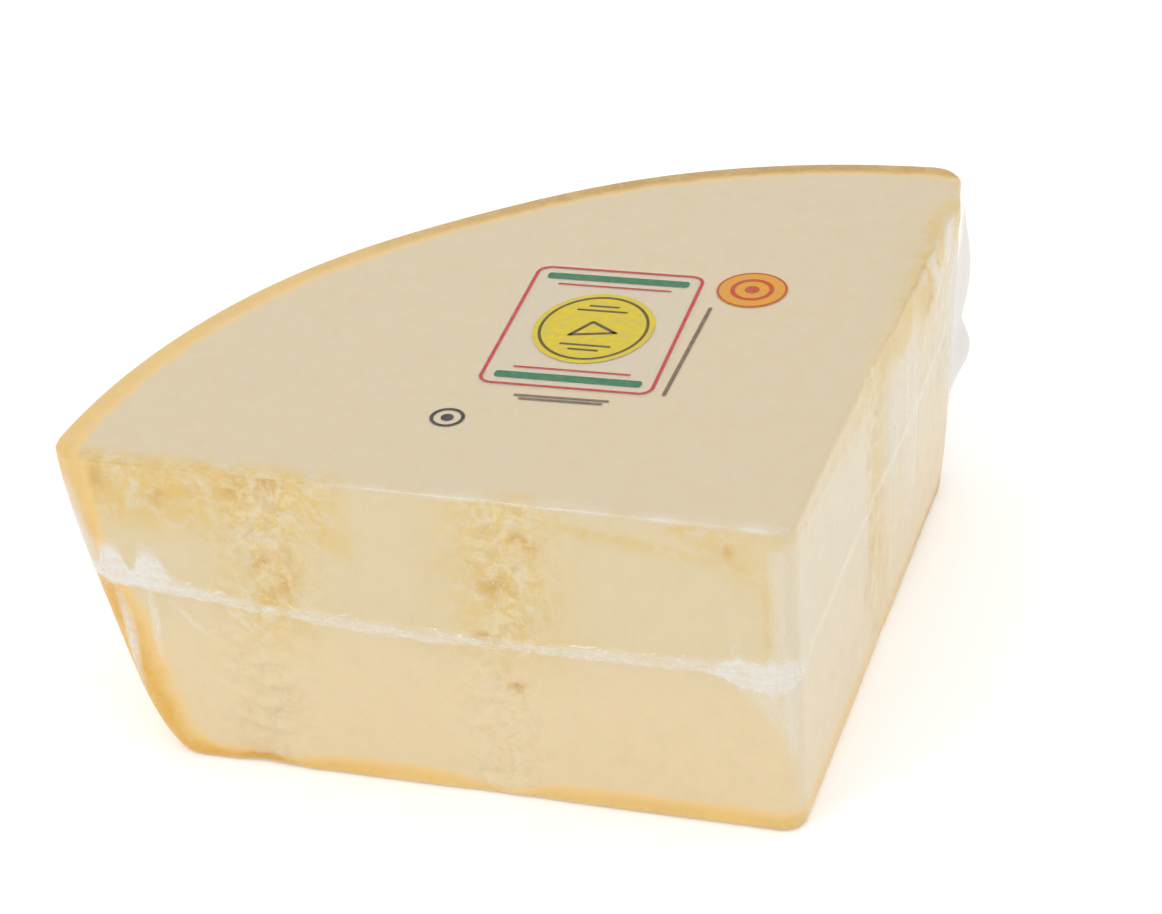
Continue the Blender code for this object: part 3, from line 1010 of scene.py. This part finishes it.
# %% The path round the sides
WELD_HEIGHT, RIND_WELD = 0.055, 0.0605
CUT_STEPS, RIND_STEPS = 900, 1400
path_share = np.concatenate(
    (np.linspace(1, 0, CUT_STEPS), np.linspace(0, 1, CUT_STEPS), np.ones(RIND_STEPS))
)
cut_turns = np.repeat((0.0, math.pi / 2), CUT_STEPS)
path_turn = np.concatenate((cut_turns, np.linspace(math.pi / 2, 0.0, RIND_STEPS)))
path_height = np.full(len(path_share), WELD_HEIGHT)
path = wedge_places(path_share, path_turn, path_height, FILM_INSIDE)[0]
path_steps = np.linalg.norm(np.diff(path, axis=0), axis=1)
path_length = np.concatenate(((0.0,), np.cumsum(path_steps)))
belt_length = path_length[-1]
near_corner = path_length[CUT_STEPS]
far_corner = path_length[2 * CUT_STEPS] - near_corner
print("length round the sides:", round(float(belt_length), 3), "m")


def over_film(share, turn, z, out):
    """Points `out` metres over the film, by their share of the way out, their turn and height."""
    flat, into, _ = wedge_places(share, turn, z, FILM_INSIDE)
    points = np.column_stack((flat, z))
    normals = np.column_stack((-into, np.zeros(len(z))))
    return points + normals * (film_relief(points, normals)[0] + out)[:, None]


# %% [markdown]
# Along this path the weld wanders up and down. Its height is given at a few places, and so is its
# half height. Three flaps with round shoulders widen it. The noise that frays its edges is read on a
# ring as long as the belt, so that it closes round the wedge without a step.

# %% The weld
# How high the weld runs: metres from the near corner (left of it negative), and metres up.
WELD_COURSE = (
    (-0.210, RIND_WELD),
    (-0.1975, 0.0590),
    (-0.1885, 0.0583),
    (-0.1535, 0.0527),
    (-0.1165, 0.0505),
    (-0.0815, 0.0498),
    (-0.0475, 0.0506),
    (-0.0255, 0.0511),
    (-0.0070, 0.0492),
    (0.000, 0.0502),
    (0.030, 0.0498),
    (0.090, 0.0510),
    (0.150, 0.0550),
    (0.205, RIND_WELD),
)


def flap(from_corner, middle, width, high):
    """A flap with round shoulders on the weld's edge."""
    return high * np.exp(-(((from_corner - middle) / width) ** 4))


bpy.ops.object.select_all(action="DESELECT")
bpy.ops.mesh.primitive_grid_add(x_subdivisions=1240, y_subdivisions=20, size=2.0)
weld = bpy.context.object
weld.name = weld.data.name = "crumpled_weld"
grid = read_points(weld, origin=(0.0, 0.0, 0.0))
along = (grid[:, 0] + 1.0) / 2.0 * belt_length
across = grid[:, 1]
from_corner = along - near_corner
course = np.interp(from_corner, *zip(*WELD_COURSE))

loop = along / belt_length * 2 * math.pi
ring = np.column_stack((np.cos(loop), np.sin(loop), np.zeros(len(loop))))
ring *= belt_length / (2 * math.pi)
half_height = 0.001 * np.interp(
    from_corner,
    (-0.200, -0.150, -0.110, -0.080, -0.050, -0.026, 0.010, far_corner, far_corner + 0.010),
    (2.4, 2.6, 2.4, 1.8, 1.9, 2.4, 1.6, 1.6, 2.6),
)
near_flap = flap(from_corner, -0.0100, 0.0120, 1.0)
up = half_height + 0.0040 * near_flap
up = up + flap(from_corner, -0.1914, 0.0036, 0.0078) + flap(from_corner, -0.1806, 0.0044, 0.0086)
down = half_height + 0.0034 * near_flap + flap(from_corner, -0.1880, 0.0085, 0.0014)
ragged = 0.34 + 0.12 * near_flap
uneven = 1.0 + ragged * rough(ring, 0.0050, 3, 12.0) + 0.40 * rough(ring, 0.0180, 2, 16.0)
spread = np.where(across > 0, up, down) * uneven
z = course + across * spread + 0.0002 * rough(ring, 0.0030, 3, 13.0)
print("weld: between", [round(float(v) * 1000, 1) for v in (z.min(), z.max())], "mm up")

# %% [markdown]
# The belt's arch is highest where the weld is free and lowest where it is pressed flat. Its edges sink
# into the film, and its milkiness fades towards them, so that no hard outline shows.

# %% The weld's crumple
EDGES_SINK, MOST_OUT = 0.00008, 0.0031
ring[:, 2] = z
on_right_cut = rise(0.004, 0.020, from_corner)
on_right_cut *= rise(far_corner + 0.002, far_corner - 0.006, from_corner)
left_end = np.minimum(along, belt_length - along)
stand = 0.0014 - 0.0016 * on_right_cut + 0.0012 * rise(far_corner, far_corner + 0.020, from_corner)
stand = stand * rise(-0.010, 0.030, left_end)
arch = np.clip(1.0 - np.abs(across) ** 2.5, 0.0, 1.0)
crumple = rough(ring, (0.0040, 0.0040, 0.0018), 4, 14.0)
height_over = np.minimum(arch * stand * (0.85 + 0.35 * crumple) - EDGES_SINK, MOST_OUT)
share = np.interp(along, path_length, path_share)
turn = np.interp(along, path_length, path_turn)
write_points(weld, over_film(share, turn, z, height_over))

threads = rough(ring, (0.0110, 0.0110, 0.0012), 3, 15.0)
milk = 0.38 + 0.26 * crumple + 0.26 * threads + 0.40 * near_flap
milk = milk + 0.55 * bell(from_corner + 0.187, 0.015)
milk = milk * (1.0 - 0.94 * on_right_cut) * rise(1.0, 0.55, np.abs(across))
write_attribute(weld, "milk_and_painted_gleams", milk)
tidy_mesh(weld)
only(weld)
bpy.ops.object.shade_smooth()
weld.data.materials.append(crumpled_film)
stands_out = round(float(height_over.max()) * 1000, 1)
print("weld:", len(weld.data.polygons), "faces, stands out", stands_out, "mm")

# %% [markdown]
# Single folds spring from the weld where the film had too much width. A crease can be drawn in a bump
# map, but on the outline it would vanish. One narrow strip is modelled, copied for each fold, laid
# along its line, tapered to both ends and arched.

# %% Where the film folds
# Each fold: a line of places along its side and up it, its half width, how far it stands out, and
# how milky it is.
FRONT_FOLDS = (
    (((0.1950, 0.058), (0.1932, 0.043), (0.1922, 0.034), (0.1918, 0.018)), 0.0024, 0.0006, 0.72),
    (((0.1851, 0.057), (0.1846, 0.045), (0.1838, 0.030)), 0.0016, 0.0004, 0.45),
    (((0.1800, 0.0520), (0.1745, 0.0465), (0.1670, 0.0400)), 0.0012, 0.0003, 0.26),
    (((0.1620, 0.0505), (0.1540, 0.0430)), 0.0012, 0.0003, 0.26),
    (((0.1560, 0.0480), (0.1500, 0.0430)), 0.0010, 0.0003, 0.20),
    (((0.0185, 0.0545), (0.0150, 0.0610)), 0.0010, 0.0003, 0.22),
)
RIGHT_FOLDS = (
    (((0.128, 0.050), (0.125, 0.066), (0.124, 0.083)), 0.0012, 0.0004, 0.35),
    (((0.138, 0.056), (0.136, 0.036), (0.134, 0.014)), 0.0012, 0.0004, 0.30),
    (((0.176, 0.060), (0.180, 0.072), (0.186, 0.084)), 0.0016, 0.0008, 0.55),
    (((0.180, 0.056), (0.184, 0.040), (0.188, 0.020)), 0.0016, 0.0006, 0.50),
)
FOLD_SINKS = 0.0001
dice = np.random.default_rng(11)
RIND_FOLDS = []
for _ in range(36):
    start = dice.uniform(0.03, 1.50)
    lean = dice.normal(0.0, 0.030)
    reach = (0.005 + 0.022 * dice.uniform() ** 2) * dice.choice((-1.0, 1.0))
    middle = (start + 0.4 * lean, RIND_WELD + 0.5 * reach)
    line = ((start, RIND_WELD), middle, (start + lean, RIND_WELD + reach))
    RIND_FOLDS.append((line, dice.uniform(0.0007, 0.0018), 0.0005, dice.uniform(0.12, 0.38)))
print("folds on the rind's side:", len(RIND_FOLDS))

# %% [markdown]
# All folds are the same strip, laid differently. On a cut its line is given in metres, and on the
# rind's side as a turn and a height, so there the turn is made metres with the wheel's radius. The
# strip wobbles a little from side to side, and it is milkiest on its arch. At the end the strips are
# joined to one piece.

# %% The folds
bpy.ops.object.select_all(action="DESELECT")
bpy.ops.mesh.primitive_grid_add(x_subdivisions=60, y_subdivisions=6, size=2.0)
strip = bpy.context.object
strip.name = strip.data.name = "film_folds"
grid = read_points(strip, origin=(0.0, 0.0, 0.0))
all_folds = [(0.0, True, fold) for fold in FRONT_FOLDS]
all_folds += [(math.pi / 2, True, fold) for fold in RIGHT_FOLDS]
all_folds += [(0.0, False, fold) for fold in RIND_FOLDS]
strips = [strip]
while len(strips) < len(all_folds):
    only(strip)
    bpy.ops.object.duplicate()
    strips.append(bpy.context.object)

progress = (grid[:, 0] + 1.0) / 2.0
taper = np.sqrt(np.clip(np.sin(math.pi * np.clip(progress, 0.0, 1.0)), 0.0, 1.0))
arch = (1.0 - grid[:, 1] ** 2) * taper
for one, (side_turn, on_cut, (line, half_width, out, most)) in zip(strips, all_folds):
    line = np.array(line)
    to_metres = np.array((1.0 if on_cut else WHEEL_RADIUS, 1.0))
    steps = np.linalg.norm(np.diff(line * to_metres, axis=0), axis=1)
    marks = np.concatenate(((0.0,), np.cumsum(steps))) / steps.sum()
    place_along, place_up = (np.interp(progress, marks, line[:, i]) for i in (0, 1))
    slant = (line[-1] - line[0]) * to_metres
    slant = slant / np.linalg.norm(slant)
    wobble = 0.15 * half_width * np.sin(9.0 * progress + 40.0 * line[0, 0])
    sideways = grid[:, 1] * half_width * taper + wobble
    place_along = place_along - slant[1] * sideways / to_metres[0]
    z = place_up + slant[0] * sideways
    share = place_along / wheel_side(side_turn, z) if on_cut else np.ones(len(z))
    turn = np.full(len(z), side_turn) if on_cut else place_along
    write_points(one, over_film(share, turn, z, arch * out - FOLD_SINKS))
    write_attribute(one, "milk_and_painted_gleams", most * arch * taper)

bpy.ops.object.select_all(action="DESELECT")
for one in strips:
    one.select_set(True)
bpy.context.view_layer.objects.active = strip
bpy.ops.object.join()
folds = bpy.context.object
tidy_mesh(folds)
only(folds)
bpy.ops.object.shade_smooth()
folds.data.materials.append(crumpled_film)
print("folds:", len(all_folds), "in one piece of", len(folds.data.polygons), "faces")

# %% [markdown]
# A pack like this carries print on its top: a framed label, a round badge, a small ring and a few fine
# rules. Print can be a decal picture, but plain fields of ink are clearer as thin shapes. Each one is a
# plane or a disc with bevelled corners, extruded by a few hundredths of a millimetre, and lies a
# little higher than the ink under it. The film shows through the whitish field of the label.
#
# Every ink lies a little unevenly on the film. That is one effect in many colours, so it is a node
# group as well: it takes the ink's colour and cover and gives both back slightly clouded.

# %% A node group for uneven ink
uneven_ink, given, gives = new_group(
    "uneven_ink",
    {"Place": "Vector", "Ink": "Color", "Cover": "Float"},
    {"Colour": "Color", "Covered": "Float"},
)
thin_spots = clouds(uneven_ink, given["Place"], 420.0, 3.0)
paler_by = between(uneven_ink, thin_spots, 0.35, 0.70, 0.0, 0.12)
clouded = blend(uneven_ink, paler_by, given["Ink"], (0.5, 0.5, 0.5, 1.0))
left_over = between(uneven_ink, thin_spots, 0.25, 0.75, 1.0, 0.88)
uneven_ink.links.new(clouded, gives["Colour"])
uneven_ink.links.new(product(uneven_ink, given["Cover"], left_over), gives["Covered"])
print("group:", uneven_ink.name, len(uneven_ink.nodes), "nodes")

# %% [markdown]
# All inks are one material function with other colours. All shapes are one function too: it adds a
# plane or a disc, rounds its corners, hollows it out where only an outline is printed, gives it the
# thickness of ink and lays it on the film.

# %% Helpers for print
PRINT_FOOT, INK_STEP, INK_THICK = 0.09571, 0.00004, 0.00003
LABEL_TURN = 2.0
printed = []


def ink(name, colour, cover):
    """Ink that covers the film by the share `cover`."""
    material, tree, surface, place = new_material(name)
    values = {"Place": place, "Ink": (*colour, 1.0), "Cover": cover}
    laid = add(tree, "ShaderNodeGroup", values, node_tree=uneven_ink).outputs
    more = {"Alpha": laid["Covered"], "Specular IOR Level": 0.2}
    tree.links.new(principled(tree, laid["Colour"], 0.35, more), surface)
    return material


def flat_start(name, size, radius, corners):
    """A flat rectangle, or a disc with so many corners, stretched to its size."""
    bpy.ops.object.select_all(action="DESELECT")
    if radius:
        bpy.ops.mesh.primitive_circle_add(vertices=corners, radius=radius, fill_type="NGON")
    else:
        bpy.ops.mesh.primitive_plane_add(size=1.0)
    shape = bpy.context.object
    shape.name = shape.data.name = name
    shape.scale = (*size, 1.0)
    bpy.ops.object.transform_apply(location=False, rotation=False, scale=True)
    return shape


def print_shape(
    name,
    material,
    place,
    layer,
    size=(1.0, 1.0),
    radius=None,
    corners=72,
    round_by=0.0,
    bends=8,
    line=None,
    turn=LABEL_TURN,
):
    """A rectangle or a disc of ink at x, y from the wheel's axis; with a line width, its outline."""
    shape = flat_start(name, size, radius, corners)
    bpy.ops.object.mode_set(mode="EDIT")
    bpy.ops.mesh.select_all(action="SELECT")
    if round_by:
        bpy.ops.mesh.bevel(offset=round_by, segments=bends, affect="VERTICES")
    if line:
        bpy.ops.mesh.select_mode(type="FACE")
        bpy.ops.mesh.select_all(action="SELECT")
        bpy.ops.mesh.inset(thickness=line)
        bpy.ops.mesh.delete(type="FACE")
    bpy.ops.mesh.select_all(action="SELECT")
    bpy.ops.mesh.extrude_region_move(TRANSFORM_OT_translate={"value": (0.0, 0.0, INK_THICK)})
    bpy.ops.object.mode_set(mode="OBJECT")
    shape.rotation_euler.z = math.radians(turn)
    shape.location = WHEEL_AXIS + Vector((*place, PRINT_FOOT + layer * INK_STEP))
    bpy.ops.object.transform_apply(location=True, rotation=True, scale=False)
    tidy_mesh(shape, 1e-7)
    shape.data.materials.append(material)
    printed.append(shape)
    return shape


# %% [markdown]
# Nine inks do for all of it. They are mixed a little darker than they look, because the film's
# mirror lies over the paste but not over the print.

# %% The inks
whitish = ink("whitish_ink", (0.95, 0.89, 0.82), 0.12)
red = ink("red_ink", (0.58, 0.040, 0.035), 0.95)
green = ink("green_ink", (0.030, 0.190, 0.085), 0.95)
yellow = ink("yellow_ink", (0.68, 0.52, 0.020), 0.98)
olive = ink("olive_ink", (0.100, 0.075, 0.010), 0.98)
orange = ink("orange_ink", (0.72, 0.32, 0.015), 0.98)
deep_orange = ink("deep_orange_ink", (0.56, 0.070, 0.015), 0.90)
grey = ink("grey_ink", (0.185, 0.135, 0.095), 0.50)
black = ink("black_ink", (0.045, 0.045, 0.05), 0.90)
print("inks:", sum(material.name.endswith("_ink") for material in bpy.data.materials))

# %% [markdown]
# The label comes first: a whitish field, a thin red frame, two green bars and a yellow oval in the
# middle with a plain wedge of cheese on it.


# %% The label
LABEL = Vector((-0.0817, 0.0950))
label_turn = Matrix.Rotation(math.radians(LABEL_TURN), 2)


def on_label(x, y):
    """A place on the label, from its middle."""
    return LABEL + label_turn @ Vector((x, y))


print_shape("label_field", whitish, LABEL, 0, size=(0.0525, 0.0710), round_by=0.0050)
print_shape("label_frame", red, LABEL, 1, size=(0.0505, 0.0690), round_by=0.0042, line=0.0010)
for i, y in enumerate((-0.0290, 0.0290)):
    place = on_label(0.0, y)
    print_shape(f"label_bar_{i}", green, place, 1, size=(0.0425, 0.0034), round_by=0.0012)
    rule = on_label(0.0, y - math.copysign(0.0046, y))
    print_shape(f"label_rule_{i}", red, rule, 1, size=(0.034, 0.0008), round_by=0.0003)
badge = print_shape("label_badge", yellow, on_label(0.0, 0.0), 1, radius=0.0155)
ring = print_shape("label_badge_ring", olive, on_label(0.0, 0.0), 2, radius=0.0141, line=0.0008)
for shape in (badge, ring):
    only(shape)
    bpy.ops.object.mode_set(mode="EDIT")
    bpy.ops.mesh.select_all(action="SELECT")
    bpy.ops.transform.resize(
        value=(1.12, 1.30, 1.0), center_override=WHEEL_AXIS + Vector((*LABEL, PRINT_FOOT))
    )
    bpy.ops.object.mode_set(mode="OBJECT")
for i, (y, wide) in enumerate(((-0.0100, 0.015), (0.0100, 0.015), (0.0126, 0.009), (-0.0126, 0.009))):
    print_shape(f"badge_rule_{i}", olive, on_label(0.0, y), 2, size=(wide, 0.0010), round_by=0.0004)
print("label:", len(printed), "shapes")

# %% [markdown]
# The little wedge starts as a circle of three points only. It is stretched, its corners are rounded,
# and an inset leaves its outline.

# %% The wedge on the badge
wedge_sign = print_shape(
    "badge_wedge",
    olive,
    on_label(0.0, -0.0012),
    2,
    size=(1.15, 0.72),
    radius=0.0078,
    corners=3,
    round_by=0.0011,
    bends=6,
    line=0.0012,
    turn=14.0,
)
print("wedge on the badge:", [round(v * 1000, 1) for v in wedge_sign.dimensions], "mm")

# %% [markdown]
# Beside the label lies a round orange badge with darker rings. A small dark ring and some fine grey
# rules, where such packs carry their small print, finish it.

# %% The badge, the ring and the rules
DISC = (-0.0428, 0.1252)
print_shape("disc", orange, DISC, 0, radius=0.0104)
print_shape("disc_rim", deep_orange, DISC, 1, radius=0.0102, line=0.0006)
print_shape("disc_ring", deep_orange, DISC, 1, radius=0.0064, line=0.0014)
print_shape("disc_heart", deep_orange, DISC, 1, radius=0.0022)
RING = (-0.1073, 0.0396)
print_shape("small_ring", black, RING, 0, radius=0.0049, line=0.0010)
print_shape("small_dot", black, RING, 0, radius=0.0018)
for i, (x, y, long, turn) in enumerate(
    (
        (-0.0794, 0.0555, 0.0272, 2.7),
        (-0.0792, 0.0538, 0.0240, 2.7),
        (-0.0519, 0.0874, 0.0510, 90.0),
    )
):
    print_shape(f"fine_rule_{i}", grey, (x, y), 0, size=(long, 0.0012), round_by=0.0004, turn=turn)
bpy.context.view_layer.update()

# %% [markdown]
# The CAD model has one solid for the whole pack. So every piece made here moves with the root and
# stands in for the solid, which is hidden.

# %% The pieces on the root
for piece in (cheese, film, weld, folds, *printed):
    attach(piece, "root")
    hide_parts("sealed_cheese_wedge")
